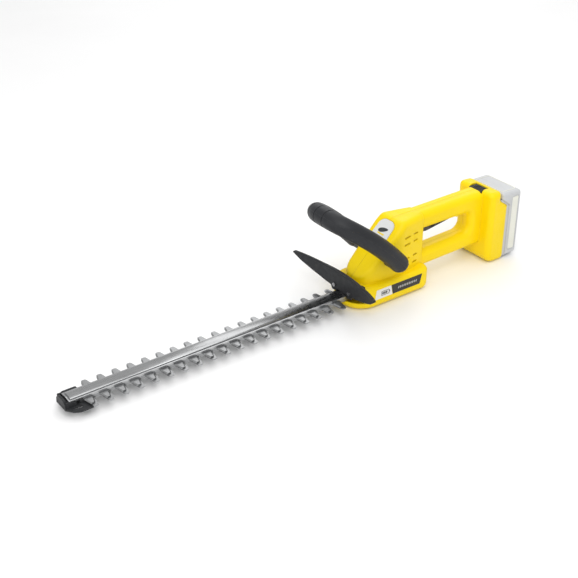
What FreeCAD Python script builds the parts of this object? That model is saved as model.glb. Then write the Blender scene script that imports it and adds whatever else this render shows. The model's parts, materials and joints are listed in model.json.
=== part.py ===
import FreeCAD, Part
import math
import os

# Battery hedge trimmer, in millimetres.
# +X points forward to the blade's tip, +Y to the left, +Z up.
# The origin is on the floor under the middle of the whole tool.

V = FreeCAD.Vector

# ---- driving dimensions -------------------------------------------------
# cutting blades
TOOTH_PITCH = 22.0
TEETH_PER_SIDE = 19
FIRST_LEFT_TOOTH_X = 351.0
FIRST_RIGHT_TOOTH_X = 340.0
SPINE_HALF = 11.3
LOWER_TIP_Y = 29.3
UPPER_TIP_Y = 24.6
TOOTH_BASE_HALF = 6.6
TOOTH_TIP_HALF = 3.4
UPPER_TOOTH_LEAD = 2.0
BLADE_FRONT_X = 365.0
BLADE_THICKNESS = 2.0
LOWER_BLADE_Z = 13.6
UPPER_BLADE_Z = 15.8
BLADE_STROKE_HALF = 5.5

# guide bar and its fasteners
BAR_HALF = 11.25
BAR_Z0 = 18.0
BAR_EDGE_Z = 21.0
BAR_RIDGE_Z = 22.0
BAR_FRONT_X = 379.0
BAR_REAR_X = -84.0
BAR_BOLT_XS = [306.0, 221.0, 136.0, 51.0, -34.0]
BAR_BOLT_R = 2.0
BAR_SCREW_X = -76.0
BUSH_R = 3.4
BUSH_GAP = 0.4

# crank, gears and motor
CRANK_X = -115.0
GEAR_MODULE = 1.0
PINION_TEETH = 12
CRANK_TEETH = 48
GEAR_Z0 = 23.2
GEAR_THICKNESS = 5.0
GEARBOX_FLOOR_Z = 19.4
GEARBOX_RIM_Z = 29.0
GEARBOX_COVER_Z = 31.6
MOTOR_X = CRANK_X - GEAR_MODULE * (PINION_TEETH + CRANK_TEETH) / 2.0
SHAFT_R = 3.0
ECCENTRIC_R = 9.2
MOTOR_R = 20.0
MOTOR_Z0 = 38.0
MOTOR_Z1 = 80.0
MOTOR_SHAFT_R = 1.6
RUNNING_GAP = 0.05

# housing
WALL = 3.0
DECK_FRONT_X = -60.0
BODY_REAR_X = -199.0
DECK_REAR_X = -202.0
DECK_HALF = 38.0
DECK_TOP_Z = 37.0
DECK_TOP_R = 6.0
DECK_BOTTOM_R = 11.5
LIP_TOP_Z = 12.2
DOME_NOSE_X = -80.0
DOME_NOSE_R = 22.5
DOME_HALF = 29.0
DOME_TOP_Z = 117.0
SLANT_SUM = -36.0
GRIP_HALF = 17.0
GRIP_TOP_Z = 116.0
GRIP_UNDER_Z = 88.0
BAR_TOP_Z = 53.0
BAR_BOTTOM_Z = 28.0
OPENING_FRONT_X = -195.0
OPENING_REAR_X = -299.0
HOLDER_FRONT_X = -321.0
HOLDER_REAR_X = -359.0
HOLDER_HALF = 38.0
HOLDER_TOP_Z = 120.0
BAY_X = -343.0
BAY_HALF = 34.6

# bow handle
BOW_FOOT_X = -123.6
BOW_FOOT_Z = 74.5
BOW_HALF_WIDTH = 50.0
BOW_RISE = 120.5
BOW_TILT = 47.5
BOW_BEND = 16.0
BOW_ROUNDNESS = 2.85
BOW_HALF_IN_PLANE = 14.8
BOW_HALF_THICK = 13.8
BOW_WALL = 3.0
BOW_FOOT_DROP = 14.0
BOW_BOSS_UP = -7.0

# hand guard
GUARD_CENTRE_X = -63.0
GUARD_SWEEP_R = 226.0
GUARD_THICKNESS = 4.2
GUARD_HALF = 93.0
GUARD_TIP_Z = 57.0
GUARD_SCREW_Y = 17.0
GUARD_SCREW_Z = 28.0

# battery
BATTERY_REAR_X = -386.0
BATTERY_BOTTOM_Z = 4.0
BATTERY_TOP_Z = 114.0
NARROW_HALF = BAY_HALF - 0.5
WIDE_HALF = 36.4
CELL_R = 9.1
CELL_LENGTH = 65.0


# ---- small modelling tools ----------------------------------------------
def box(x0, x1, y0, y1, z0, z1):
    return Part.makeBox(x1 - x0, y1 - y0, z1 - z0, V(x0, y0, z0))


def rod(start, axis, radius, length):
    return Part.makeCylinder(radius, length, V(*start), V(*axis))


def tube(start, axis, outer, inner, length):
    return rod(start, axis, outer, length).cut(rod(start, axis, inner, length))


def corner(before, point, after, radius):
    """The two tangent points and the middle of the arc that rounds one corner."""
    a = (before - point).normalize()
    b = (after - point).normalize()
    half = a.getAngle(b) / 2.0
    reach = radius / math.tan(half)
    middle = (a + b).normalize()
    centre = point + middle * (radius / math.sin(half))
    return point + a * reach, centre - middle * radius, point + b * reach


def rounded_wire(points, place):
    """A closed wire through (a, b, corner radius) points, placed by place(a, b)."""
    spots = [place(p[0], p[1]) for p in points]
    count = len(points)
    edges = []
    starts = []
    ends = []
    for i in range(count):
        radius = points[i][2] if len(points[i]) > 2 else 0.0
        if radius > 0.0:
            first, middle, last = corner(spots[i - 1], spots[i], spots[(i + 1) % count], radius)
            edges.append(Part.Arc(first, middle, last).toShape())
            starts.append(first)
            ends.append(last)
        else:
            starts.append(spots[i])
            ends.append(spots[i])
    for i in range(count):
        nxt = starts[(i + 1) % count]
        if (ends[i] - nxt).Length > 1e-5:
            edges.append(Part.LineSegment(ends[i], nxt).toShape())
    return Part.Wire(Part.__sortEdges__(edges))


def prism_z(points, z0, z1):
    wire = rounded_wire(points, lambda a, b: V(a, b, z0))
    return Part.Face(wire).extrude(V(0, 0, z1 - z0))


def prism_y(points, y0, y1):
    wire = rounded_wire(points, lambda a, b: V(a, y0, b))
    return Part.Face(wire).extrude(V(0, y1 - y0, 0))


def prism_x(points, x0, x1):
    wire = rounded_wire(points, lambda a, b: V(x0, a, b))
    return Part.Face(wire).extrude(V(x1 - x0, 0, 0))


def fuse(shapes):
    whole = shapes[0]
    if len(shapes) > 1:
        whole = whole.multiFuse(shapes[1:])
    return whole.removeSplitter()


def mirrored(points):
    """Closes a half outline with its mirror image across the second axis."""
    back = [(p[0], -p[1]) + tuple(p[2:]) for p in reversed(points)]
    return list(points) + back


def round_edges(shape, radius, chosen):
    edges = [e for e in shape.Edges if chosen(e)]
    return shape.makeFillet(radius, edges)


def edge_middle(edge):
    return edge.valueAt((edge.FirstParameter + edge.LastParameter) / 2.0)


def lies_along_z(edge):
    box_ = edge.BoundBox
    return box_.XLength < 0.01 and box_.YLength < 0.01


def flat_at_z(edge, z):
    box_ = edge.BoundBox
    return box_.ZLength < 0.01 and abs(box_.ZMin - z) < 0.01


def coil(radius, wire_r, height, turns, base):
    """A compression spring standing on base."""
    helix = Part.makeHelix(height / turns, height, radius)
    section = Part.Wire(Part.makeCircle(wire_r, V(radius, 0, 0), V(0, 1, 0)))
    spring = Part.Wire(helix).makePipeShell([section], True, True)
    spring.translate(V(*base))
    return spring


def lead(points, radius, bends):
    """A round wire along straight runs joined by tangent arcs."""
    spots = [V(*p) for p in points]
    edges = []
    last = spots[0]
    for i in range(1, len(spots) - 1):
        first, middle, after = corner(spots[i - 1], spots[i], spots[i + 1], bends)
        edges.append(Part.LineSegment(last, first).toShape())
        edges.append(Part.Arc(first, middle, after).toShape())
        last = after
    edges.append(Part.LineSegment(last, spots[-1]).toShape())
    path = Part.Wire(edges)
    section = Part.Wire(Part.makeCircle(radius, spots[0], spots[1] - spots[0]))
    return path.makePipeShell([section], True, False)


# ---- blades and bar ------------------------------------------------------
def tooth_side(first_x, tip_y, sign, lead_x):
    """One side's teeth as outline points, from the front backwards."""
    points = []
    for i in range(TEETH_PER_SIDE):
        x = first_x - i * TOOTH_PITCH + lead_x
        points.append((x + TOOTH_BASE_HALF, sign * SPINE_HALF, 2.6))
        points.append((x + TOOTH_TIP_HALF, sign * tip_y, 2.9))
        points.append((x - TOOTH_TIP_HALF, sign * tip_y, 2.9))
        points.append((x - TOOTH_BASE_HALF, sign * SPINE_HALF, 2.6))
    return points


YOKE_WINDOW_X = ECCENTRIC_R + 2.0 * BLADE_STROKE_HALF + 0.5
YOKE_WINDOW_Y = ECCENTRIC_R + BLADE_STROKE_HALF + 0.5
YOKE_RIM = 4.6


def blade(z0, tip_y, lead_x):
    """A double-sided cutting blade with its yoke round the eccentric."""
    rear_x = CRANK_X - YOKE_WINDOW_X - YOKE_RIM
    neck_x = CRANK_X + YOKE_WINDOW_X + YOKE_RIM
    yoke_y = YOKE_WINDOW_Y + YOKE_RIM
    points = [(BLADE_FRONT_X, SPINE_HALF, 4.0)]
    points += tooth_side(FIRST_LEFT_TOOTH_X, tip_y, 1, lead_x)
    points += [(neck_x + 4.0, SPINE_HALF, 4.0), (neck_x - 4.0, yoke_y, 12.0)]
    points += [(rear_x, yoke_y, 14.0), (rear_x, -yoke_y, 14.0)]
    points += [(neck_x - 4.0, -yoke_y, 12.0), (neck_x + 4.0, -SPINE_HALF, 4.0)]
    points += list(reversed(tooth_side(FIRST_RIGHT_TOOTH_X, tip_y, -1, lead_x)))
    points += [(BLADE_FRONT_X, -SPINE_HALF, 4.0)]
    plate = prism_z(points, z0, z0 + BLADE_THICKNESS)
    window = [
        (CRANK_X - YOKE_WINDOW_X, -YOKE_WINDOW_Y, 9.0),
        (CRANK_X + YOKE_WINDOW_X, -YOKE_WINDOW_Y, 9.0),
        (CRANK_X + YOKE_WINDOW_X, YOKE_WINDOW_Y, 9.0),
        (CRANK_X - YOKE_WINDOW_X, YOKE_WINDOW_Y, 9.0),
    ]
    cuts = [prism_z(window, z0 - 1, z0 + BLADE_THICKNESS + 1)]
    reach = BLADE_STROKE_HALF + BUSH_R + BUSH_GAP
    half = BUSH_R + BUSH_GAP
    for x in BAR_BOLT_XS:
        slot = [(x - reach, -half, half - 0.01), (x + reach, -half, half - 0.01)]
        slot += [(x + reach, half, half - 0.01), (x - reach, half, half - 0.01)]
        cuts.append(prism_z(slot, z0 - 1, z0 + BLADE_THICKNESS + 1))
    return plate.cut(cuts)


def bevel_cutter(root, tip, outward, width, depth):
    """A wedge that bevels the top edge of one tooth flank."""
    run = (tip - root).normalize()
    start = root + run * 1.8
    inside = start - outward * width
    low = start - V(0, 0, depth)
    over = start + outward * 3 + V(0, 0, 0.001)
    under = low + outward * 3 - V(0, 0, 3 * depth / width)
    corner_points = [inside, over, under]
    high = [p + V(0, 0, 1.0) for p in corner_points[:2]]
    loop = [corner_points[0], high[0], high[1], corner_points[2], corner_points[0]]
    return Part.Face(Part.makePolygon(loop)).extrude(run * ((tip - root).Length + 2.0))


def flank_bevels(first_x, side, lead_x, top):
    cutters = []
    for i in range(TEETH_PER_SIDE):
        x = first_x - i * TOOTH_PITCH + lead_x
        for lean in (1, -1):
            root = V(x + lean * TOOTH_BASE_HALF, side * SPINE_HALF, top)
            tip = V(x + lean * TOOTH_TIP_HALF, side * UPPER_TIP_Y, top)
            run = (tip - root).normalize()
            outward = V(run.y, -run.x, 0) * (side * lean)
            cutters.append(bevel_cutter(root, tip, outward, BEVEL_WIDTH, BEVEL_DEPTH))
    return cutters


BEVEL_WIDTH = 1.7
BEVEL_DEPTH = 1.3


def upper_blade():
    top = UPPER_BLADE_Z + BLADE_THICKNESS
    plate = blade(UPPER_BLADE_Z, UPPER_TIP_Y, UPPER_TOOTH_LEAD)
    cutters = flank_bevels(FIRST_LEFT_TOOTH_X, 1, UPPER_TOOTH_LEAD, top)
    cutters += flank_bevels(FIRST_RIGHT_TOOTH_X, -1, UPPER_TOOTH_LEAD, top)
    return plate.cut(cutters)


def lower_blade():
    return blade(LOWER_BLADE_Z, LOWER_TIP_Y, 0.0)


def guide_bar():
    """The long bar over the blades: a shallow roof with a flat ridge."""
    section = [(-BAR_HALF, BAR_Z0), (BAR_HALF, BAR_Z0), (BAR_HALF, BAR_EDGE_Z)]
    section += [(0.9, BAR_RIDGE_Z), (-0.9, BAR_RIDGE_Z), (-BAR_HALF, BAR_EDGE_Z)]
    bar = prism_x(section, BAR_REAR_X, BAR_FRONT_X)
    flat_end = box(BAR_REAR_X - 1, -66.0, -20, 20, BAR_EDGE_Z, 30)
    cuts = [flat_end]
    for x in BAR_BOLT_XS:
        cuts.append(rod((x, 0, BAR_Z0 - 1), (0, 0, 1), BAR_BOLT_R, 4.0))
    for x in BAR_BOLT_XS[:-1]:
        cuts.append(rod((x, 7.0, BAR_EDGE_Z - 0.9), (0, 0, 1), 1.25, 5.0))
    for y in (-6.0, 6.0):
        cuts.append(rod((BAR_SCREW_X, y, BAR_Z0 - 1), (0, 0, 1), 1.6, 10.0))
    for y in (-5.0, 5.0):
        cuts.append(rod((376.0, y, BAR_Z0 - 1), (0, 0, 1), 1.6, 2.6))
    return bar.cut(cuts)


def bar_bolts():
    """Hex bolts from below, through the blades' slots into the bar."""
    solids = []
    for x in BAR_BOLT_XS:
        shank = rod((x, 0, 10.0), (0, 0, 1), BAR_BOLT_R, BAR_Z0 + 3.0 - 10.0)
        hexagon = [(x + 4.2 * math.cos(math.radians(60 * k)), 4.2 * math.sin(math.radians(60 * k)))
                   for k in range(6)]
        solids.append(fuse([shank, prism_z(hexagon, 10.0, 12.2)]))
    return solids


def bar_washers():
    return [tube((x, 0, 12.2), (0, 0, 1), 5.4, BAR_BOLT_R, 1.0) for x in BAR_BOLT_XS]


def bar_bushes():
    """Spacer bushes that the blades slide past."""
    return [tube((x, 0, 13.2), (0, 0, 1), BUSH_R, BAR_BOLT_R, BAR_Z0 - 13.2) for x in BAR_BOLT_XS]


def tip_guard():
    """The plastic shoe under the blade's tip, with an upturned lip."""
    z0 = 10.5
    z1 = 13.2
    half = [(386.0, 12.8, 3.0), (379.0, 22.0, 4.0), (372.0, 26.3, 4.0), (352.5, 26.3, 2.0)]
    plate = prism_z(mirrored(half), z0, z1)
    slots = []
    for side in (1, -1):
        slot = [(364.0, side * 15.2, 1.6), (378.0, side * 15.2, 1.0)]
        slot += [(376.0, side * 18.6, 1.2), (364.0, side * 21.0, 2.4)]
        slots.append(prism_z(slot, z0 - 1, z1 + 1))
    plate = plate.cut(slots)
    lip = prism_x([(-12.6, z0), (12.6, z0), (12.6, 17.0, 2.0), (8.0, 23.2, 3.0),
                   (-8.0, 23.2, 3.0), (-12.6, 17.0, 2.0)], 382.6, 385.8)
    parts = [plate, lip]
    for side in (1, -1):
        near = side * 11.6
        far = side * 13.6
        cheek = [(370.0, z0), (384.0, z0), (384.0, 21.4), (380.0, 21.4, 2.0), (370.0, 17.6, 1.5)]
        parts.append(prism_y(cheek, min(near, far), max(near, far)))
    parts.append(box(372.4, 382.8, -10.6, 10.6, z1 - 0.5, BAR_Z0))
    shoe = fuse(parts)
    holes = []
    for y in (-5.0, 5.0):
        holes.append(rod((376.0, y, z0 - 1), (0, 0, 1), 1.6, 20.0))
        holes.append(rod((376.0, y, z0 - 1), (0, 0, 1), 3.2, 2.6))
    return shoe.cut(holes)


def tip_screws():
    solids = []
    for y in (-5.0, 5.0):
        head = rod((376.0, y, 10.3), (0, 0, 1), 3.2, 1.8)
        shank = rod((376.0, y, 11.0), (0, 0, 1), 1.6, BAR_Z0 + 1.6 - 11.0)
        slot = box(373.0, 379.0, y - 0.5, y + 0.5, 10.0, 10.9)
        solids.append(fuse([head, shank]).cut(slot))
    return solids


# ---- drive ----------------------------------------------------------------
def involute_gear(teeth, x, z0, thickness, bore, turn):
    """A spur gear with involute flanks; turn is its angle in degrees."""
    pitch_r = GEAR_MODULE * teeth / 2.0
    base_r = pitch_r * math.cos(math.radians(20.0))
    outer_r = pitch_r + 0.95 * GEAR_MODULE
    root_r = pitch_r - 1.2 * GEAR_MODULE
    backlash = 0.07 / pitch_r
    inv20 = math.tan(math.radians(20.0)) - math.radians(20.0)
    half_at_base = math.pi / (2.0 * teeth) + inv20 - backlash
    steps = 4
    flank = []
    for i in range(steps + 1):
        r = max(base_r, root_r + 0.05) + (outer_r - max(base_r, root_r + 0.05)) * i / steps
        roll = math.acos(min(1.0, base_r / r))
        flank.append((r, half_at_base - (math.tan(roll) - roll)))
    points = []
    for k in range(teeth):
        middle = math.radians(turn) + 2.0 * math.pi * k / teeth
        points.append((root_r, middle - flank[0][1]))
        points += [(r, middle - a) for r, a in flank]
        points += [(r, middle + a) for r, a in reversed(flank)]
        points.append((root_r, middle + flank[0][1]))
    outline = [(x + r * math.cos(a), r * math.sin(a)) for r, a in points]
    blank = prism_z(outline, z0, z0 + thickness)
    return blank.cut(rod((x, 0, z0 - 1), (0, 0, 1), bore, thickness + 2))


def crank_gear():
    gear = involute_gear(CRANK_TEETH, CRANK_X, GEAR_Z0, GEAR_THICKNESS, SHAFT_R, 0.0)
    top = GEAR_Z0 + GEAR_THICKNESS
    groove = tube((CRANK_X, 0, top - 1.6), (0, 0, 1), 18.5, 9.0, 3.0)
    holes = []
    for k in range(6):
        a = math.radians(60 * k + 30)
        centre = (CRANK_X + 13.8 * math.cos(a), 13.8 * math.sin(a), GEAR_Z0 - 1)
        holes.append(rod(centre, (0, 0, 1), 3.0, GEAR_THICKNESS + 2))
    return gear.cut([groove] + holes)


def crank_shaft():
    return rod((CRANK_X, 0, 12.9), (0, 0, 1), SHAFT_R, GEARBOX_COVER_Z + 3.4 - 12.9)


def eccentric(y_shift, z0, z1):
    disc = rod((CRANK_X, y_shift, z0), (0, 0, 1), ECCENTRIC_R, z1 - z0)
    return disc.cut(rod((CRANK_X, 0, z0 - 1), (0, 0, 1), SHAFT_R, z1 - z0 + 2))


def upper_eccentric():
    return eccentric(BLADE_STROKE_HALF, 15.8, 18.6)


def lower_eccentric():
    return eccentric(-BLADE_STROKE_HALF, 13.0, 15.7)


def crank_bearings():
    """The two bushes that the crank shaft turns in."""
    inner = SHAFT_R + RUNNING_GAP
    low = tube((CRANK_X, 0, GEARBOX_FLOOR_Z), (0, 0, 1), 7.0, inner, 3.5)
    high = tube((CRANK_X, 0, GEARBOX_RIM_Z + 0.2), (0, 0, 1), 7.0, inner, 5.2)
    return [low, high]


def chamber(radius_gear, radius_pinion, z0, z1):
    """The round gear chamber with its narrower pinion end."""
    main = rod((CRANK_X, 0, z0), (0, 0, 1), radius_gear, z1 - z0)
    small = rod((MOTOR_X, 0, z0), (0, 0, 1), radius_pinion, z1 - z0)
    link = box(MOTOR_X, CRANK_X, -radius_pinion, radius_pinion, z0, z1)
    return fuse([main, small, link])


def gearbox_ears(z0, z1):
    return [rod((x, y, z0), (0, 0, 1), 4.2, z1 - z0) for x, y in GEARBOX_SCREWS]


GEARBOX_SCREWS = [(CRANK_X + 20.0, 24.5), (CRANK_X + 20.0, -24.5),
                  (CRANK_X - 24.0, 22.0), (CRANK_X - 24.0, -22.0)]


def gearbox_base():
    """Die-cast tray: floor, chamber wall, crank boss and the tongue on the bar."""
    z0 = GEARBOX_FLOOR_Z
    z1 = GEARBOX_RIM_Z
    body = fuse([chamber(28.6, 16.0, z0, z1)] + gearbox_ears(z0, z1))
    hollow = chamber(26.3, 9.5, z0 + 2.6, z1 + 1)
    body = body.cut(hollow)
    boss = rod((CRANK_X, 0, z0), (0, 0, 1), 9.5, 3.5)
    tongue = box(CRANK_X + 22.0, -68.0, -10.5, 10.5, BAR_EDGE_Z, 24.4)
    body = fuse([body, boss, tongue.cut(hollow)])
    cuts = [rod((CRANK_X, 0, z0 - 1), (0, 0, 1), 7.0, 20)]
    for x, y in GEARBOX_SCREWS:
        cuts.append(rod((x, y, z0 - 1), (0, 0, 1), 1.6, 20))
    for y in (-6.0, 6.0):
        cuts.append(rod((BAR_SCREW_X, y, z0 - 1), (0, 0, 1), 1.6, 20))
    return body.cut(cuts)


def gearbox_cover():
    """Cover plate with the upper crank boss and the motor seat."""
    z0 = GEARBOX_RIM_Z
    z1 = GEARBOX_COVER_Z
    body = fuse([chamber(28.6, 16.0, z0, z1)] + gearbox_ears(z0, z1)
                + [rod((CRANK_X, 0, z0), (0, 0, 1), 9.5, 5.4),
                   rod((MOTOR_X, 0, z0), (0, 0, 1), 12.0, MOTOR_Z0 - z0)])
    cuts = [rod((CRANK_X, 0, z0 - 1), (0, 0, 1), 7.0, 20),
            rod((MOTOR_X, 0, z0 - 1), (0, 0, 1), 8.4, 20)]
    for x, y in GEARBOX_SCREWS:
        cuts.append(rod((x, y, z0 - 1), (0, 0, 1), 1.6, 20))
    return body.cut(cuts)


def cap_screw(x, y, z_top, shank_r, shank_length, head_r, head_height):
    """A socket screw standing head up, its head resting at z_top."""
    head = rod((x, y, z_top), (0, 0, 1), head_r, head_height)
    shank = rod((x, y, z_top - shank_length), (0, 0, 1), shank_r, shank_length)
    socket = rod((x, y, z_top + head_height * 0.4), (0, 0, 1), head_r * 0.5, head_height)
    return fuse([head, shank]).cut(socket)


def gearbox_screws():
    return [cap_screw(x, y, GEARBOX_COVER_Z, 1.6, 11.0, 2.8, 2.0) for x, y in GEARBOX_SCREWS]


def bar_screws():
    return [cap_screw(BAR_SCREW_X, y, 24.4, 1.6, 6.0, 2.8, 2.0) for y in (-6.0, 6.0)]


def motor_can():
    """Drawn steel can, open at the top, with a nose for the lower bearing."""
    can = rod((MOTOR_X, 0, MOTOR_Z0), (0, 0, 1), MOTOR_R, MOTOR_Z1 - MOTOR_Z0)
    hollow = rod((MOTOR_X, 0, MOTOR_Z0 + 1.6), (0, 0, 1), MOTOR_R - 1.6, 80)
    nose = rod((MOTOR_X, 0, MOTOR_Z0 - 3.0), (0, 0, 1), 8.3, 3.5)
    bore = rod((MOTOR_X, 0, MOTOR_Z0 - 5.0), (0, 0, 1), 5.0, 10)
    return fuse([can.cut(hollow), nose]).cut(bore)


def motor_magnets():
    """Two ceramic arcs fixed inside the can."""
    ring = tube((MOTOR_X, 0, MOTOR_Z0 + 5.0), (0, 0, 1), MOTOR_R - 1.6, MOTOR_R - 5.6, 28.0)
    gap = box(MOTOR_X - 8, MOTOR_X + 8, -30, 30, 40, 100)
    halves = ring.cut(gap).Solids
    return halves


def motor_endbell():
    """Plastic cap on the motor with its brush holders."""
    cap = rod((MOTOR_X, 0, MOTOR_Z1), (0, 0, 1), MOTOR_R - 1.0, 3.0)
    boss = rod((MOTOR_X, 0, MOTOR_Z1), (0, 0, 1), 7.0, 5.5)
    bore = rod((MOTOR_X, 0, MOTOR_Z1 - 1), (0, 0, 1), 5.0, 5.0)
    clear = rod((MOTOR_X, 0, MOTOR_Z1 - 1), (0, 0, 1), 2.2, 10.0)
    parts = [cap, boss]
    for side in (1, -1):
        near = side * 11.4
        far = side * 17.6
        parts.append(box(MOTOR_X - 3, MOTOR_X + 3, min(near, far), max(near, far),
                         MOTOR_Z1 - 6.0, MOTOR_Z1 + 0.5))
    return fuse(parts).cut([bore, clear])


def motor_brushes():
    """Carbon brushes beside the commutator."""
    solids = []
    for side in (1, -1):
        near = side * 6.4
        far = side * 11.4
        solids.append(box(MOTOR_X - 2, MOTOR_X + 2, min(near, far), max(near, far),
                          MOTOR_Z1 - 5.4, MOTOR_Z1 - 1.4))
    return solids


def motor_bearings():
    inner = MOTOR_SHAFT_R + RUNNING_GAP
    low = tube((MOTOR_X, 0, MOTOR_Z0 - 3.0), (0, 0, 1), 5.0, inner, 4.0)
    high = tube((MOTOR_X, 0, MOTOR_Z1 + 0.4), (0, 0, 1), 5.0, inner, 3.6)
    return [low, high]


def motor_shaft():
    return rod((MOTOR_X, 0, 22.4), (0, 0, 1), MOTOR_SHAFT_R, MOTOR_Z1 + 4.6 - 22.4)


def rotor_core():
    """Slotted armature stack with its windings as one body."""
    core = rod((MOTOR_X, 0, MOTOR_Z0 + 9.0), (0, 0, 1), MOTOR_R - 6.4, 20.0)
    cuts = [rod((MOTOR_X, 0, 40.0), (0, 0, 1), MOTOR_SHAFT_R, 60)]
    for k in range(5):
        turned = box(9.5, 20.0, -1.4, 1.4, 30.0, 100.0)
        turned.rotate(V(0, 0, 0), V(0, 0, 1), 72 * k)
        turned.translate(V(MOTOR_X, 0, 0))
        cuts.append(turned)
    return core.cut(cuts)


def rotor_windings():
    solids = []
    core_z0 = MOTOR_Z0 + 9.0
    core_z1 = core_z0 + 20.0
    for z, rim in ((core_z0 - 5.0, core_z0 - 5.0), (core_z1, core_z1 + 5.0)):
        ring = tube((MOTOR_X, 0, z), (0, 0, 1), 11.0, MOTOR_SHAFT_R, 5.0)
        solids.append(round_edges(ring, 2.0, lambda e: flat_at_z(e, rim) and e.BoundBox.XLength > 18))
    return solids


def commutator():
    return tube((MOTOR_X, 0, MOTOR_Z1 - 7.0), (0, 0, 1), 6.0, MOTOR_SHAFT_R, 6.2)


def pinion():
    gear_turn = 180.0 / PINION_TEETH
    return involute_gear(PINION_TEETH, MOTOR_X, GEAR_Z0 - 0.4, GEAR_THICKNESS + 0.8,
                         MOTOR_SHAFT_R, gear_turn)


# ---- outer form of the housing ---------------------------------------------
def deck_form(t):
    """The low base: rounded nose in plan, rounded at the rear."""
    half = [(DECK_FRONT_X - t, DECK_HALF - t, 37.0 - t), (DECK_REAR_X + t, DECK_HALF - t, 14.0 - t)]
    deck = prism_z(mirrored(half), t, DECK_TOP_Z - t)
    deck = round_edges(deck, DECK_TOP_R - t, lambda e: flat_at_z(e, DECK_TOP_Z - t))
    return round_edges(deck, DECK_BOTTOM_R - t, lambda e: flat_at_z(e, t))


def dome_form(t):
    """The motor housing: round nose in plan, slanted face in front, tapering to the grip."""
    nose = DOME_NOSE_X - t
    side = DOME_HALF - t
    nose_y = DOME_NOSE_R + 2.0 - t
    plan = [(nose, nose_y, DOME_NOSE_R - t), (-112.0, side - 2.0, 30.0), (-150.0, side, 40.0),
            (BODY_REAR_X + t, GRIP_HALF + 2.0 - t)]
    column = prism_z(mirrored(plan), 20.0, DOME_TOP_Z + 20.0)
    s = SLANT_SUM - t * math.sqrt(2.0)
    top = DOME_TOP_Z - t
    side_view = [(nose + 30.0, 20.0), (nose + 30.0, s - nose - 30.0), (s - top, top, 12.0),
                 (-180.0, top - 0.3, 60.0), (BODY_REAR_X - 4.0, GRIP_TOP_Z - t),
                 (BODY_REAR_X - 4.0, 20.0)]
    dome = column.common(prism_y(side_view, -60.0, 60.0))
    return round_edges(dome, 9.0 - t, is_dome_rim)


def is_dome_rim(edge):
    """The edges where the dome's top and slanted face meet its sides."""
    box_ = edge.BoundBox
    middle = edge_middle(edge)
    if box_.XLength < 0.5 and abs(middle.x - BODY_REAR_X) < 1.0:
        return False
    if lies_along_z(edge) or abs(middle.y) < 1.0 and box_.XLength < 0.1:
        return False
    return middle.z > 60.0 and not (box_.YLength > 30.0 and box_.XLength < 0.1)


def ring_form(t):
    """The D-shaped rear handle: upper grip, lower bar and rear web round the hand opening."""
    rear = HOLDER_FRONT_X - 6.0
    outer = [(-160.0, GRIP_TOP_Z - t), (rear, GRIP_TOP_Z + 1.0 - t),
             (rear, BAR_BOTTOM_Z + t), (-180.0, BAR_BOTTOM_Z + t - 3.0), (-160.0, 40.0)]
    inner = [(OPENING_FRONT_X + t, BAR_TOP_Z - t - 1.0, 9.0 + t),
             (OPENING_FRONT_X + t, GRIP_UNDER_Z + t, 7.0 + t),
             (OPENING_REAR_X - t, GRIP_UNDER_Z + t, 9.0 + t),
             (OPENING_REAR_X - t, BAR_TOP_Z - t + 2.0, 12.0 + t)]
    half = GRIP_HALF - t
    ring = prism_y(outer, -half, half).cut(prism_y(inner, -60, 60))
    radius = max(10.5 - t, 3.0)
    rounding = lambda e: abs(abs(edge_middle(e).y) - half) < 0.01 and is_grip_edge(e, t)
    return round_edges(ring, radius, rounding)


def is_grip_edge(edge, t):
    """Long edges of the ring's outer top, outer bottom and whole opening."""
    middle = edge_middle(edge)
    if middle.x < HOLDER_FRONT_X - 5.0 or middle.x > -161.0:
        return False
    return True


def holder_form(t):
    """The upright battery holder at the rear."""
    side_view = [(HOLDER_FRONT_X - t, t, 17.0), (HOLDER_FRONT_X - t, HOLDER_TOP_Z - t, 7.0 - t),
                 (BAY_X, HOLDER_TOP_Z - 2.0 - t, 2.0), (BAY_X, 105.0),
                 (HOLDER_REAR_X, 94.0, 3.0), (HOLDER_REAR_X, t, 6.0)]
    half = HOLDER_HALF - t
    form = prism_y(side_view, -half, half)
    return round_edges(form, 9.0 - t, lambda e: abs(abs(edge_middle(e).y) - half) < 0.01
                       and edge_middle(e).x > BAY_X - 1.0 and edge_middle(e).z > 2.0)


def outer_form():
    whole = fuse([deck_form(0.0), dome_form(0.0), ring_form(0.0), holder_form(0.0)])
    return whole


def inner_form():
    """The hollow that holds the drive, the switch and the wiring."""
    holder = holder_form(WALL).common(box(BAY_X + 2.6, 0, -60, 60, 0, 200))
    return fuse([deck_form(WALL), dome_form(WALL), ring_form(WALL), holder])


HOUSING_SCREWS = [(-186.0, 15.0, 34.0), (-197.0, 97.5, 14.0), (-174.0, 44.0, 23.5),
                  (-290.0, 106.0, 13.5), (-256.0, 40.0, 12.5), (-330.0, 15.0, 33.0),
                  (-310.0, 70.0, 13.5)]
BOSS_R = 4.0
SCREW_R = 1.7
HEAD_R = 3.3


def screw_bosses(outer):
    """Columns across the housing that the screws run in."""
    columns = [rod((x, -60, z), (0, 1, 0), BOSS_R, 120) for x, z, reach in HOUSING_SCREWS]
    return [c.common(outer) for c in columns]


def screw_holes():
    cuts = []
    for x, z, reach in HOUSING_SCREWS:
        cuts.append(rod((x, -60, z), (0, 1, 0), SCREW_R, 60 + reach - 4.0))
        cuts.append(rod((x, -60, z), (0, 1, 0), HEAD_R, 60 - reach + 3.0))
    return cuts


VENT_ROWS = [92.0, 80.5, 57.0, 45.5]


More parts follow.
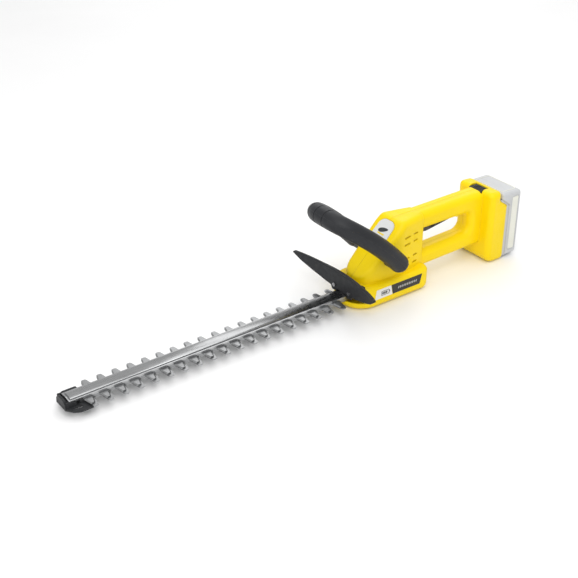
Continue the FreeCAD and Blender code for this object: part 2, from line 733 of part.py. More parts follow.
def vent_cuts():
    """Cooling slots low and high on both sides of the motor housing."""
    cuts = []
    for z in VENT_ROWS:
        for x0, x1 in ((-186.5, -177.0), (-169.0, -156.0)):
            for side in (1, -1):
                slot = [(x0, z - 1.2, 1.15), (x1, z - 1.2, 1.15), (x1, z + 1.2, 1.15), (x0, z + 1.2, 1.15)]
                near = side * 12.0
                far = side * 40.0
                cuts.append(prism_y(slot, min(near, far), max(near, far)))
    return cuts


TRIGGER_FRONT_X = -204.0
TRIGGER_REAR_X = -276.0
TRIGGER_HALF = 8.6
BUTTON_X0 = -336.0
BUTTON_X1 = -320.5
BUTTON_HALF = 13.0
BUTTON_TOP_Z = 117.4


def housing():
    """The whole shell before it is parted into left and right."""
    outer = outer_form()
    shell = outer.cut(inner_form())
    shell = shell.fuse(screw_bosses(outer))
    blade_mouth = box(-96.0, -40.0, -34.9, 34.9, LIP_TOP_Z, 24.0)
    above_lip = box(-68.0, -40.0, -60.0, 60.0, LIP_TOP_Z, 60.0)
    bay = box(-380.0, BAY_X, -BAY_HALF, BAY_HALF, 3.4, 140.0)
    trigger_slot = box(TRIGGER_REAR_X - 1.5, TRIGGER_FRONT_X + 1.5, -TRIGGER_HALF - 0.7,
                       TRIGGER_HALF + 0.7, GRIP_UNDER_Z - 12.0, GRIP_UNDER_Z + 6.0)
    button_hole = box(BUTTON_X0 - 0.5, BUTTON_X1 + 0.5, -BUTTON_HALF - 0.5, BUTTON_HALF + 0.5,
                      BUTTON_TOP_Z - 12.0, 140.0)
    terminal_hole = box(BAY_X - 2, BAY_X + 4, -28.6, 28.6, 44.0, 66.0)
    cuts = [blade_mouth, above_lip, bay, trigger_slot, button_hole, terminal_hole]
    cuts += screw_holes() + vent_cuts() + [badge_recess()]
    for side in (1, -1):
        start = side * 18.0
        cuts.append(rod((BOSS_SPOT.x, start, BOSS_SPOT.z), (0, side, 0), 2.6, 32))
        cuts.append(rod((BOSS_SPOT.x, start, BOSS_SPOT.z), (0, side, 0), 4.4, 5.7))
    shell = shell.cut(cuts)
    ribs = []
    for side in (1, -1):
        near = side * (BAY_HALF - 3.0)
        far = side * (BAY_HALF + 0.5)
        ribs.append(box(-355.0, -352.0, min(near, far), max(near, far), 3.0, 92.0))
    pin_seats = []
    for side in (1, -1):
        near = side * 9.4
        far = side * (GRIP_HALF - 2.0)
        pin_seats.append(rod((PIN_X, min(near, far), PIN_Z), (0, 1, 0), 3.6, abs(far - near)))
    shelf = box(-341.0, -323.0, -12.0, 12.0, BUTTON_TOP_Z - 19.0, BUTTON_TOP_Z - 17.0)
    shell = shell.fuse(ribs + pin_seats + [shelf])
    pin_hole = rod((PIN_X, -14.0, PIN_Z), (0, 1, 0), 1.5, 28.0)
    return shell.cut(pin_hole)


def halves(shell):
    left = shell.common(box(-500, 100, 0, 80, -10, 200))
    right = shell.common(box(-500, 100, -80, 0, -10, 200))
    return biggest(left), biggest(right)


def biggest(shape):
    return sorted(shape.Solids, key=lambda s: s.Volume)[-1]


def housing_screws():
    solids = []
    for x, z, reach in HOUSING_SCREWS:
        head_y = -reach + 3.0
        head = rod((x, head_y - 2.4, z), (0, 1, 0), HEAD_R, 2.4)
        shank = rod((x, head_y - 0.5, z), (0, 1, 0), SCREW_R, reach - 4.0 - head_y)
        arms = [box(x - 2.2, x + 2.2, head_y - 3, head_y - 1.4, z - 0.45, z + 0.45),
                box(x - 0.45, x + 0.45, head_y - 3, head_y - 1.4, z - 2.2, z + 2.2)]
        solids.append(fuse([head, shank]).cut(arms))
    return solids


def on_slant(shape):
    """Places a shape drawn flat (length along X, face up) on the dome's slanted face."""
    shape.rotate(V(0, 0, 0), V(0, 1, 0), 45.0)
    middle_x = BADGE_MIDDLE_X
    shape.translate(V(middle_x, 0, SLANT_SUM - middle_x))
    return shape


BADGE_MIDDLE_X = -134.6
BADGE_HALF_LENGTH = 20.5
BADGE_HALF_WIDTH = 17.0


def badge_outline(grow):
    a = BADGE_HALF_LENGTH + grow
    b = BADGE_HALF_WIDTH + grow
    return [(-a, -b + 2.0, 11.0), (-a, b - 2.0, 11.0), (a, b, 4.0), (a, -b, 4.0)]


def badge_recess():
    return on_slant(prism_z(badge_outline(0.5), -0.8, 3.0))


def badge_plate():
    return on_slant(prism_z(badge_outline(0.0), -0.8, 0.5))


def label_plates(x0, x1, slant0, slant1):
    """Thin plates on both flanks of the base, with leaning ends."""
    solids = []
    for side in (1, -1):
        near = side * DECK_HALF
        far = side * (DECK_HALF + 0.5)
        outline = [(x0 + slant0, 15.5), (x1 + slant1, 15.5), (x1, 30.8), (x0, 30.8)]
        solids.append(prism_y(outline, min(near, far), max(near, far)))
    return solids


def pale_labels():
    return label_plates(-124.0, -97.0, -3.0, 3.0)


def dark_labels():
    return label_plates(-184.0, -124.8, 4.0, -3.0)


# ---- hand guard ---------------------------------------------------------------
def hand_guard():
    """The wide black shield that bows forward to two points."""
    centre_x = GUARD_CENTRE_X + GUARD_SWEEP_R
    band = tube((centre_x, 0, 0), (0, 0, 1), GUARD_SWEEP_R + GUARD_THICKNESS, GUARD_SWEEP_R, 80)
    tip = GUARD_TIP_Z
    half = [(0.0, 19.0), (21.5, 19.0, 2.0), (24.5, 25.0, 2.0), (36.0, 27.0, 20.0),
            (60.0, 35.0, 60.0), (80.0, 44.5, 60.0),
            (GUARD_HALF, tip - 2.0, 0.8), (GUARD_HALF - 0.5, tip, 0.6), (45.0, 52.4, 300.0), (0.0, 49.8)]
    left = [(y, z) + tuple(r) for y, z, *r in half[:-1]]
    right = [(-y, z) + tuple(r) for y, z, *r in reversed(half[1:-1])]
    front_view = prism_x(left + right, -80.0, -20.0)
    shield = band.common(front_view)
    arch = prism_x([(-12.0, 10.0), (12.0, 10.0), (12.0, 22.4, 1.0), (-12.0, 22.4, 1.0)], -90.0, -30.0)
    tabs = []
    for side in (1, -1):
        near = side * 27.0
        far = side * 34.0
        tabs.append(box(-78.0, -62.0, min(near, far), max(near, far), 37.05, 41.0))
    guard = fuse([shield] + tabs).cut(arch)
    holes = [rod((-80.0, side * GUARD_SCREW_Y, GUARD_SCREW_Z), (1, 0, 0), 1.6, 30) for side in (1, -1)]
    return guard.cut(holes)


def guard_screws():
    solids = []
    for side in (1, -1):
        y = side * GUARD_SCREW_Y
        z = GUARD_SCREW_Z
        face_x = GUARD_CENTRE_X + 0.25 + y * y / (2.0 * GUARD_SWEEP_R)
        head = rod((face_x, y, z), (1, 0, 0), 2.8, 1.7)
        shank = rod((-75.0, y, z), (1, 0, 0), 1.6, face_x + 75.5)
        cross = box(face_x + 1.0, face_x + 3.0, y - 1.8, y + 1.8, z - 0.4, z + 0.4)
        solids.append(fuse([head, shank]).cut(cross))
    return solids


# ---- bow handle -----------------------------------------------------------------
def bow_slope(v):
    """The angle of the bow's curved middle surface, up along it v."""
    up = max(v, 0.0) / BOW_RISE
    return math.radians(BOW_TILT) - math.atan(2.0 * BOW_BEND * up / BOW_RISE)


def bow_place(y, v, n=0.0):
    """A point by the bow's middle surface: across y, up along it v, and off it n."""
    a = math.radians(BOW_TILT)
    bend = BOW_BEND * (max(v, 0.0) / BOW_RISE) ** 2
    slope = bow_slope(v)
    return V(BOW_FOOT_X + v * math.cos(a) + bend * math.sin(a) - n * math.sin(slope), y,
             BOW_FOOT_Z + v * math.sin(a) - bend * math.cos(a) + n * math.cos(slope))


BOSS_SPOT = bow_place(0.0, BOW_BOSS_UP)
BAR_MIDDLE = bow_place(0.0, BOW_RISE)
BAR_TILT = math.degrees(bow_slope(BOW_RISE))


def bar_place(y, d, n=0.0):
    """A point by the middle of the bow's bar, in the flat plane that touches it there."""
    a = math.radians(BAR_TILT)
    return BAR_MIDDLE + V(d * math.cos(a) - n * math.sin(a), y, d * math.sin(a) + n * math.cos(a))


def bar_sag(y):
    """How far the arched bar has dropped at y from its middle."""
    return BOW_RISE * ((1.0 - (abs(y) / BOW_HALF_WIDTH) ** BOW_ROUNDNESS) ** (1.0 / BOW_ROUNDNESS) - 1.0)


def bow_path(foot):
    """The bow's centre line: two legs and an arch, from foot up one leg to foot down the other."""
    power = 2.0 / BOW_ROUNDNESS
    start = math.asin((max(foot, 2.0) / BOW_RISE) ** (1.0 / power))
    steps = 12
    points = []
    for k in range(steps + 1):
        angle = start + (math.pi - 2.0 * start) * k / steps
        c = math.cos(angle)
        y = math.copysign(BOW_HALF_WIDTH * abs(c) ** power, c)
        points.append(bow_place(y, BOW_RISE * math.sin(angle) ** power))
    if foot < 0.0:
        points = [bow_place(BOW_HALF_WIDTH, foot)] + points + [bow_place(-BOW_HALF_WIDTH, foot)]
    curve = Part.BSplineCurve()
    curve.interpolate(points)
    return curve


def bow_sweep(shrink, foot):
    """The bow as a swept oval; foot is how far up the leg it starts."""
    curve = bow_path(foot)
    start = curve.value(curve.FirstParameter)
    run = curve.tangent(curve.FirstParameter)[0]
    slope = bow_slope(foot)
    off = V(-math.sin(slope), 0, math.cos(slope))
    across = run.cross(off).normalize()
    off = across.cross(run).normalize()
    oval = Part.Ellipse(start + across * (BOW_HALF_IN_PLANE - shrink),
                        start + off * (BOW_HALF_THICK - shrink), start)
    section = Part.Wire([oval.toShape()])
    return Part.Wire([curve.toShape()]).makePipeShell([section], True, False)


GROOVE_YS = [-42.0, -27.0, -10.0, 8.0]


def is_bow_end(edge):
    """The rims of the two legs' lower ends."""
    middle = edge_middle(edge)
    return middle.z < bow_place(0.0, 2.0 - BOW_FOOT_DROP).z + 10.0 and edge.BoundBox.YLength > 5.0


def bow_solid():
    sweep = bow_sweep(0.0, -BOW_FOOT_DROP)
    solid = round_edges(sweep, 11.0, is_bow_end)
    around = bow_sweep(-3.0, 30.0)
    core = bow_sweep(0.9, 20.0)
    slabs = [box(-120, 20, y - 0.7, y + 0.7, 60, 200) for y in GROOVE_YS]
    grooves = [around.common(s).cut(core) for s in slabs]
    return solid.cut(grooves)


def bow_side(sign):
    """Everything on one side of the bow's curved middle surface."""
    line = [bow_place(0.0, v) for v in [-60.0] + [5.0 * k for k in range(0, 22)] + [BOW_RISE]]
    line.append(bar_place(0.0, 60.0))
    far = V(-150.0, 0, 150.0) if sign > 0 else V(150.0, 0, -150.0)
    loop = line + [line[-1] + far, line[0] + far, line[0]]
    return Part.Face(Part.makePolygon([p - V(0, 150, 0) for p in loop])).extrude(V(0, 300, 0))


SAFETY_HALF = 32.0


def bar_block(y0, y1, d0, d1, n0, n1):
    """A block drawn in the plane of the bow's bar."""
    block = Part.makeBox(d1 - d0, y1 - y0, n1 - n0, V(d0, y0, n0))
    block.rotate(V(0, 0, 0), V(0, 1, 0), -BAR_TILT)
    block.translate(BAR_MIDDLE)
    return block


def bar_slice(half, inner, outer, thick):
    """A curved strip that follows the arch of the bar, between two depths below its middle."""
    ys = [half * (k / 8.0 - 1.0) for k in range(17)]
    top = [bar_place(y, bar_sag(y) - inner, -thick) for y in ys]
    bottom = [bar_place(y, bar_sag(y) - outer, -thick) for y in reversed(ys)]
    upper = Part.BSplineCurve()
    upper.interpolate(top)
    lower = Part.BSplineCurve()
    lower.interpolate(bottom)
    edges = [upper.toShape(), Part.makeLine(top[-1], bottom[0]),
             lower.toShape(), Part.makeLine(bottom[-1], top[0])]
    rise = bar_place(0.0, 0.0, thick) - bar_place(0.0, 0.0, -thick)
    return Part.Face(Part.Wire(edges)).extrude(rise)


def bow_shells():
    """The bow's upper and lower half shells, hollow in the grip."""
    solid = bow_solid()
    hollow = bow_sweep(BOW_WALL, 34.0)
    slot = bar_slice(SAFETY_HALF + 0.6, 9.0, 40.0, 6.6)
    screws = []
    for side in (1, -1):
        start = side * 30.0
        screws.append(rod((BOSS_SPOT.x, start, BOSS_SPOT.z), (0, side, 0), 2.5, 32.0))
    solid = solid.cut([hollow, slot] + screws)
    upper = biggest(solid.common(bow_side(1)))
    lower = biggest(solid.common(bow_side(-1)))
    return upper, lower


def safety_bar():
    """The grey bar on the inside of the bow that both hands' fingers squeeze."""
    bar = bar_slice(SAFETY_HALF, 6.0, BOW_HALF_IN_PLANE + 5.0, 6.0)
    pocket = bar_block(-18.0, -10.0, -10.0, 4.0, -4.0, 4.0)
    return bar.cut(pocket)


def safety_switch():
    """The small switch in the bow that the safety bar closes."""
    return bar_block(4.0, 20.0, -1.6, 5.0, -3.6, 3.6)


def safety_spring():
    spring = coil(2.8, 0.45, 18.6, 9, (0, 0, 0))
    spring.rotate(V(0, 0, 0), V(0, 1, 0), 90.0 - BAR_TILT)
    spring.translate(bar_place(-14.0, -9.3))
    return spring


def bow_bosses(outer, bow):
    """Black collars between the housing and the bow's legs."""
    solids = []
    for side in (1, -1):
        start = side * 22.0
        collar = rod((BOSS_SPOT.x, start, BOSS_SPOT.z), (0, side, 0), 12.0, 30.0)
        collar = collar.cut([outer, bow, rod((BOSS_SPOT.x, side * 20, BOSS_SPOT.z), (0, side, 0), 2.5, 60)])
        solids.append(biggest(collar))
    return solids


def handle_screws():
    """The bow's screws, driven from inside the housing."""
    solids = []
    for side in (1, -1):
        shank = rod((BOSS_SPOT.x, side * 22.0, BOSS_SPOT.z), (0, side, 0), 2.5, 38.0)
        head = rod((BOSS_SPOT.x, side * 20.6, BOSS_SPOT.z), (0, side, 0), 4.2, 3.0)
        solids.append(fuse([shank, head]))
    return solids


# ---- trigger, switch and wiring ----------------------------------------------------
PIN_X = -271.0
PIN_Z = 93.5


def trigger():
    """The long paddle under the grip, hinged at its rear."""
    outline = [(TRIGGER_FRONT_X, 81.6, 3.0), (TRIGGER_FRONT_X, 95.5, 1.5), (-214.0, 96.0, 1.0),
               (-266.0, 96.8, 1.0), (PIN_X - 3.4, 97.0, 3.0), (PIN_X - 3.4, 88.6, 2.0),
               (-262.0, 87.2, 30.0), (-215.0, 80.4, 20.0)]
    paddle = prism_y(outline, -TRIGGER_HALF, TRIGGER_HALF)
    hollow = box(-262.0, -208.0, -TRIGGER_HALF + 2.0, TRIGGER_HALF - 2.0, 91.0, 110.0)
    return paddle.cut([hollow, rod((PIN_X, -20, PIN_Z), (0, 1, 0), 1.5 + RUNNING_GAP, 40)])


def trigger_pin():
    return rod((PIN_X, -13.6, PIN_Z), (0, 1, 0), 1.5, 27.2)


def trigger_spring():
    return coil(2.6, 0.45, 12.0, 7, (-232.0, 0.0, 91.2 + 0.4))


def main_switch():
    """The switch block above the trigger, with its rivets and a plunger guide."""
    block = box(-246.0, -212.0, -6.5, 6.5, 104.4, 112.2)
    collar = tube((-220.0, 0, 102.6), (0, 0, 1), 3.0, 1.6, 2.5)
    return fuse([block, collar])


def control_board():
    """The electronics board in the holder, with its components."""
    board = box(-329.4, -327.8, -24.0, 24.0, 24.0, 88.0)
    parts = [board]
    for k in range(4):
        z = 30.0 + 14.0 * k
        parts.append(box(-332.0, -329.0, -8.0, 2.0, z, z + 8.0))
        parts.append(rod((-329.0, 12.0, z + 4.0), (-1, 0, 0), 4.0, 4.6))
    return fuse(parts)


TERMINAL_YS = [-25.2, -21.0, 21.0, 25.2]


def terminal_block():
    """The plastic block in the bay wall that carries the terminals."""
    block = box(BAY_X + 0.4, BAY_X + 8.0, -28.2, 28.2, 44.4, 65.6)
    flange = box(BAY_X + 2.7, BAY_X + 5.0, -30.4, 30.4, 42.4, 67.6)
    cuts = [box(BAY_X - 1, BAY_X + 9, y - 0.4, y + 0.4, 47.0, 63.0) for y in TERMINAL_YS]
    return fuse([block, flange]).cut(cuts)


def terminal_blades():
    return [box(BAY_X - 5.6, BAY_X + 10.0, y - 0.4, y + 0.4, 47.0, 63.0) for y in TERMINAL_YS]


LEAD_R = 1.2


def motor_leads():
    """Two leads from the motor's cap to the main switch."""
    solids = []
    for side in (1, -1):
        y = side * 12.0
        route = [(MOTOR_X - 6.0, y, MOTOR_Z1 + 3.0), (MOTOR_X - 6.0, y, 100.0), (-172.0, y, 107.0),
                 (-190.0, side * 5.0, 107.6), (-201.0, side * 4.0, 108.0), (-212.0, side * 4.0, 108.0)]
        solids.append(lead(route, LEAD_R, 5.0))
    return solids


def battery_leads():
    """Two leads from the main switch to the control board."""
    solids = []
    for side in (1, -1):
        y = side * 4.0
        route = [(-246.0, y, 108.0), (-262.0, y, 108.0), (-280.0, side * 6.5, 98.5),
                 (-299.0, side * 6.5, 98.5), (-314.0, side * 10.0, 82.0), (-327.8, side * 10.0, 82.0)]
        solids.append(lead(route, LEAD_R, 4.5))
    return solids


def terminal_leads():
    """Short leads from the control board to the terminals."""
    solids = []
    for side in (1, -1):
        y = side * 21.0
        solids.append(rod((-329.4, y, 55.0), (-1, 0, 0), LEAD_R, 3.6))
    return solids


# ---- release button -------------------------------------------------------------------


def release_button():
    """The black battery release button with its flange, stem and latch nose."""
    top = BUTTON_TOP_Z
    low = top - 8.5
    cap = box(BUTTON_X0, BUTTON_X1, -BUTTON_HALF, BUTTON_HALF, low, top)
    cap = round_edges(cap, 1.5, lambda e: e.BoundBox.ZMin > top - 0.5)
    wide = BUTTON_HALF + 3.0
    flange = box(BUTTON_X0 - 3.0, HOLDER_FRONT_X - WALL - 0.6, -wide, wide, low, low + 2.2)
    ribs = [box(BUTTON_X0 + 3 + 3.6 * k, BUTTON_X0 + 4.2 + 3.6 * k, -8.0, 8.0, top - 0.5, top + 0.6)
            for k in range(3)]
    return fuse([cap, flange] + ribs)


def button_spring():
    return coil(4.0, 0.6, 7.0, 5, (-330.0, 0.0, BUTTON_TOP_Z - 17.0 + 0.7))


# ---- battery -----------------------------------------------------------------------------
def battery_form(t):
    """The pack: a narrow part in the bay and a wide head and back."""
    narrow = prism_y([(BAY_X - 1.0 - t, BATTERY_BOTTOM_Z + t, 2.0), (BAY_X - 1.0 - t, 104.0),
                      (-366.0, 104.0), (-366.0, BATTERY_BOTTOM_Z + t)], -NARROW_HALF + t, NARROW_HALF - t)
    wide_view = [(-361.4 - t, BATTERY_BOTTOM_Z + t, 1.0), (-361.4 - t, 93.2 + t), (-345.4 - t, 105.6 + t),
                 (-345.4 - t, BATTERY_TOP_Z - t, 3.0), (BATTERY_REAR_X + t, BATTERY_TOP_Z - 1.0 - t, 7.0),
                 (BATTERY_REAR_X + t, BATTERY_BOTTOM_Z + t, 6.0)]
    half = WIDE_HALF - t
    wide = prism_y(wide_view, -half, half)
    if t == 0.0:
        wide = round_edges(wide, 4.5, lambda e: abs(abs(edge_middle(e).y) - half) < 0.01
                           and (edge_middle(e).x < -364.0 or edge_middle(e).z > BATTERY_TOP_Z - 3.5))
    return fuse([narrow, wide])


def battery_cases():
    """Front and rear shells of the pack, parted across its depth."""
    shell = battery_form(0.0).cut(battery_form(1.8))
    cores = []
    cuts = []
    for y in TERMINAL_YS:
        cores.append(box(BAY_X - 8.6, BAY_X - 1.2, y - 1.7, y + 1.7, BATTERY_BOTTOM_Z, 66.6))
        cuts.append(box(BAY_X - 7.2, BAY_X + 1.0, y - 1.0, y + 1.0, BATTERY_BOTTOM_Z - 1, 65.4))
        cuts.append(box(BAY_X - 8.7, BAY_X - 7.1, y - 0.9, y + 0.9, 47.0, 63.0))
    shell = shell.fuse(cores)
    for side in (1, -1):
        near = side * (BAY_HALF - 3.4)
        far = side * (BAY_HALF + 2.0)
        cuts.append(box(-355.5, -351.5, min(near, far), max(near, far), 0.0, 93.0))
    shell = shell.cut(cuts + panel_recesses())
    front = biggest(shell.common(box(-362.5, -300, -60, 60, 0, 130)))
    rear = biggest(shell.common(box(-420, -362.5, -60, 60, 0, 130)))
    return front, rear


def panel_outline(grow):
    return [(-379.5 - grow, 14.0 - grow, 2.0), (-367.0 + grow, 14.0 - grow, 2.0),
            (-367.0 + grow, 104.0 + grow, 2.0), (-379.5 - grow, 104.0 + grow, 2.0)]


def panel_recesses():
    cuts = []
    for side in (1, -1):
        near = side * (WIDE_HALF - 0.6)
        far = side * 45.0
        cuts.append(prism_y(panel_outline(0.2), min(near, far), max(near, far)))
    return cuts


def battery_panels():
    """Pale inlays in the pack's two sides."""
    solids = []
    for side in (1, -1):
        near = side * (WIDE_HALF - 0.6)
        far = side * (WIDE_HALF - 0.1)
        solids.append(prism_y(panel_outline(0.0), min(near, far), max(near, far)))
    return solids


CELL_PLACES = [(-359.2, 9.3), (-359.2, -9.3), (-375.0, 18.5), (-375.0, 0.0), (-375.0, -18.5)]


def battery_cells():
    """Five round cells standing in two staggered rows."""
    solids = []
    for x, y in CELL_PLACES:
        can = rod((x, y, 22.0), (0, 0, 1), CELL_R, CELL_LENGTH)
        button = rod((x, y, 22.0 + CELL_LENGTH), (0, 0, 1), 2.6, 1.0)
        solids.append(fuse([can, button]))
    return solids


def cell_links():
    """Nickel strips that join the cells."""
    low = box(-383.0, -352.0, -22.0, 22.0, 21.6, 22.0)
    high = box(-383.0, -352.0, -22.0, 22.0, 88.0, 88.4)
    return [low, high]


def battery_clips():
    """Spring contacts in the pack's slots."""
    solids = []
    for y in TERMINAL_YS:
        solids.append(box(BAY_X - 8.6, BAY_X - 7.2, y - 0.9, y + 0.9, 47.0, 63.0))
    return solids


# ---- output ----------------------------------------------------------------------------------
def write(name, shape):
    solids = shape if isinstance(shape, list) else [shape]
    flat = []
    for item in solids:
        flat += item.Solids
    for solid in flat:
        if not solid.isValid():
            print("not valid:", name)
    whole = flat[0] if len(flat) == 1 else Part.makeCompound(flat)
    whole.exportStep("parts/" + name + ".step")
    box_ = whole.BoundBox
    print("%-20s %2d solids  x %7.1f %7.1f  y %6.1f %6.1f  z %6.1f %6.1f  %9.0f mm3" % (
        name, len(flat), box_.XMin, box_.XMax, box_.YMin, box_.YMax, box_.ZMin, box_.ZMax,
        sum(s.Volume for s in flat)))


def main():
    os.makedirs("parts", exist_ok=True)
    left, right = halves(housing())
    write("housing_left", left)
    write("housing_right", right)
    write("housing_screws", housing_screws())
    write("badge_plate", badge_plate())
    write("pale_labels", pale_labels())
    write("dark_labels", dark_labels())
    write("hand_guard", hand_guard())
    write("guard_screws", guard_screws())
    upper, lower = bow_shells()
    write("bow_upper_shell", upper)
    write("bow_lower_shell", lower)
    write("bow_collars", bow_bosses(outer_form(), bow_solid()))
    write("bow_screws", handle_screws())
    write("safety_bar", safety_bar())
    write("safety_switch", safety_switch())
    write("safety_spring", safety_spring())
    write("upper_blade", upper_blade())
    write("lower_blade", lower_blade())
    write("guide_bar", guide_bar())
    write("bar_bolts", bar_bolts())
    write("bar_washers", bar_washers())
    write("bar_bushes", bar_bushes())
    write("bar_screws", bar_screws())
    write("tip_guard", tip_guard())
    write("tip_screws", tip_screws())
    write("gearbox_base", gearbox_base())
    write("gearbox_cover", gearbox_cover())
    write("gearbox_screws", gearbox_screws())
    write("crank_bearings", crank_bearings())
    write("crank_gear", crank_gear())
    write("crank_shaft", crank_shaft())
    write("upper_eccentric", upper_eccentric())
    write("lower_eccentric", lower_eccentric())
    write("motor_can", motor_can())
    write("motor_magnets", motor_magnets())
    write("motor_endbell", motor_endbell())
    write("motor_brushes", motor_brushes())
    write("motor_bearings", motor_bearings())
    write("motor_shaft", motor_shaft())
    write("rotor_core", rotor_core())
    write("rotor_windings", rotor_windings())
    write("commutator", commutator())
    write("pinion", pinion())
    write("trigger", trigger())
    write("trigger_pin", trigger_pin())
    write("trigger_spring", trigger_spring())
    write("main_switch", main_switch())
    write("control_board", control_board())
    write("terminal_block", terminal_block())
    write("terminal_blades", terminal_blades())
    write("motor_leads", motor_leads())
    write("battery_leads", battery_leads())
    write("terminal_leads", terminal_leads())
    write("release_button", release_button())
    write("button_spring", button_spring())
    front, rear = battery_cases()
    write("battery_front_case", front)
    write("battery_rear_case", rear)
    write("battery_panels", battery_panels())
    write("battery_cells", battery_cells())
    write("cell_links", cell_links())
    write("battery_clips", battery_clips())


main()
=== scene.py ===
import json
import math

import bpy
from mathutils import Matrix, Vector


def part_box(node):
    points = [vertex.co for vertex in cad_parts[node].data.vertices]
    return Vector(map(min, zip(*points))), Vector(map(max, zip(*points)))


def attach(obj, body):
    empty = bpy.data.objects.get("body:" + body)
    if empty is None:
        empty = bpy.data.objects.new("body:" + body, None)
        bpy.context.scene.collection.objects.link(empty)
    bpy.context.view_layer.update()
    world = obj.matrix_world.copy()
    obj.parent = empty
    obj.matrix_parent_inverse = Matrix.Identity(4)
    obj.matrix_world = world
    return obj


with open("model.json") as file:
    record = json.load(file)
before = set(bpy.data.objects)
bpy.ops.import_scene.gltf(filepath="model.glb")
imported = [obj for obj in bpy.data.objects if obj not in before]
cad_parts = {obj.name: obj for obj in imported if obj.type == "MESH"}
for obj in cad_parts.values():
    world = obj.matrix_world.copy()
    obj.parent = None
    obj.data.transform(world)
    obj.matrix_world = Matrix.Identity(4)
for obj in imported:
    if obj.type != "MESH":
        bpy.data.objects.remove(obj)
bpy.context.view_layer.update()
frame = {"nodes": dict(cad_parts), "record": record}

MM = 0.001
SCENE = bpy.context.scene
NODES = frame["nodes"]


# ---- shader building blocks -------------------------------------------------
# places of the colour sockets on Blender's Mix node
MIX_FIRST = 6
MIX_SECOND = 7
MIX_RESULT = 2

BEVEL_SAMPLES = 6
COAT_ROUGHNESS = 0.25
PLASTIC_SPECULAR = 0.22
METAL_ANISOTROPY = 0.35


class Shader:
    """A material's node tree, with short calls for the nodes used here."""

    def __init__(self, name):
        self.material = bpy.data.materials.new(name)
        self.material.use_nodes = True
        self.tree = self.material.node_tree
        self.surface = self.tree.nodes["Principled BSDF"]
        self.where = self.tree.nodes.new("ShaderNodeTexCoord").outputs["Object"]
        self.normal = None

    def new(self, kind):
        return self.tree.nodes.new("ShaderNode" + kind)

    def link(self, source, target):
        self.tree.links.new(source, target)

    def stretched(self, scale):
        """Object coordinates with a scale of their own along X, Y and Z."""
        mapping = self.new("Mapping")
        mapping.inputs["Scale"].default_value = scale
        self.link(self.where, mapping.inputs["Vector"])
        return mapping.outputs["Vector"]

    def noise(self, scale, detail=3.0, rough=0.55, vector=None):
        node = self.new("TexNoise")
        node.inputs["Scale"].default_value = scale
        node.inputs["Detail"].default_value = detail
        node.inputs["Roughness"].default_value = rough
        self.link(vector or self.where, node.inputs["Vector"])
        return node.outputs["Fac"]

    def cells(self, scale):
        node = self.new("TexVoronoi")
        node.inputs["Scale"].default_value = scale
        self.link(self.where, node.inputs["Vector"])
        return node.outputs["Distance"]

    def spread(self, value, low, high, out_low, out_high):
        """The value, mapped from low..high to out_low..out_high."""
        node = self.new("MapRange")
        limits = {"From Min": low, "From Max": high, "To Min": out_low, "To Max": out_high}
        for key, number in limits.items():
            node.inputs[key].default_value = number
        self.link(value, node.inputs["Value"])
        return node.outputs["Result"]

    def math(self, operation, a, b):
        node = self.new("Math")
        node.operation = operation
        self.link(a, node.inputs[0])
        self.link(b, node.inputs[1])
        return node.outputs["Value"]

    def mix(self, factor, first, second):
        """A blend of two colours, each a tuple or another node's output."""
        node = self.new("Mix")
        node.data_type = "RGBA"
        self.link(factor, node.inputs["Factor"])
        for socket, colour in ((node.inputs[MIX_FIRST], first), (node.inputs[MIX_SECOND], second)):
            if isinstance(colour, tuple):
                socket.default_value = colour + (1.0,)
            else:
                self.link(colour, socket)
        return node.outputs[MIX_RESULT]

    def bump(self, height, depth, strength=1.0):
        node = self.new("Bump")
        node.inputs["Distance"].default_value = depth
        node.inputs["Strength"].default_value = strength
        self.link(height, node.inputs["Height"])
        if self.normal is not None:
            self.link(self.normal, node.inputs["Normal"])
        self.normal = node.outputs["Normal"]
        self.link(self.normal, self.surface.inputs["Normal"])

    def soft_edges(self, radius):
        """Edges that catch the light as if they were rounded."""
        node = self.new("Bevel")
        node.samples = BEVEL_SAMPLES
        node.inputs["Radius"].default_value = radius
        self.normal = node.outputs["Normal"]
        self.link(self.normal, self.surface.inputs["Normal"])

    def colour(self, socket):
        self.link(socket, self.surface.inputs["Base Color"])

    def roughness(self, socket):
        self.link(socket, self.surface.inputs["Roughness"])

    def edge_mask(self, low, high):
        """1 on outer edges, 0 on flats and in corners."""
        pointy = self.new("NewGeometry").outputs["Pointiness"]
        return self.spread(pointy, low, high, 0.0, 1.0)


def tinted(colour, gain):
    return tuple(min(1.0, c * gain) for c in colour)


def plastic(name, colour, rough=0.42, grain=0.00004, grain_scale=2600.0, soft=0.0, wear=0.35, coat=0.0):
    """Moulded plastic: spark-eroded grain, faint flow marks, edges a little polished and worn.

    grain and soft are lengths in metres: the grain's depth and the radius of the softened edges.
    """
    s = Shader(name)
    if soft > 0.0:
        s.soft_edges(soft)
    flow = s.noise(9.0, 4.0)
    base = s.mix(s.spread(flow, 0.3, 0.7, 0.0, 1.0), tinted(colour, 0.955), tinted(colour, 1.03))
    specks = s.spread(s.noise(grain_scale * 0.4, 2.0), 0.42, 0.62, 0.0, 0.16)
    base = s.mix(specks, base, tinted(colour, 0.86))
    if wear > 0.0:
        mask = s.math("MULTIPLY", s.edge_mask(0.515, 0.60), s.spread(s.noise(160.0), 0.4, 0.7, 0.0, wear))
        base = s.mix(mask, base, tuple(min(1.0, c * 0.8 + 0.22) for c in colour))
    s.colour(base)
    s.roughness(s.spread(s.noise(55.0, 5.0), 0.25, 0.75, rough - 0.07, rough + 0.08))
    s.bump(s.cells(grain_scale), grain, 0.55)
    s.surface.inputs["Coat Weight"].default_value = coat
    s.surface.inputs["Coat Roughness"].default_value = COAT_ROUGHNESS
    s.surface.inputs["Specular IOR Level"].default_value = PLASTIC_SPECULAR
    return s.material


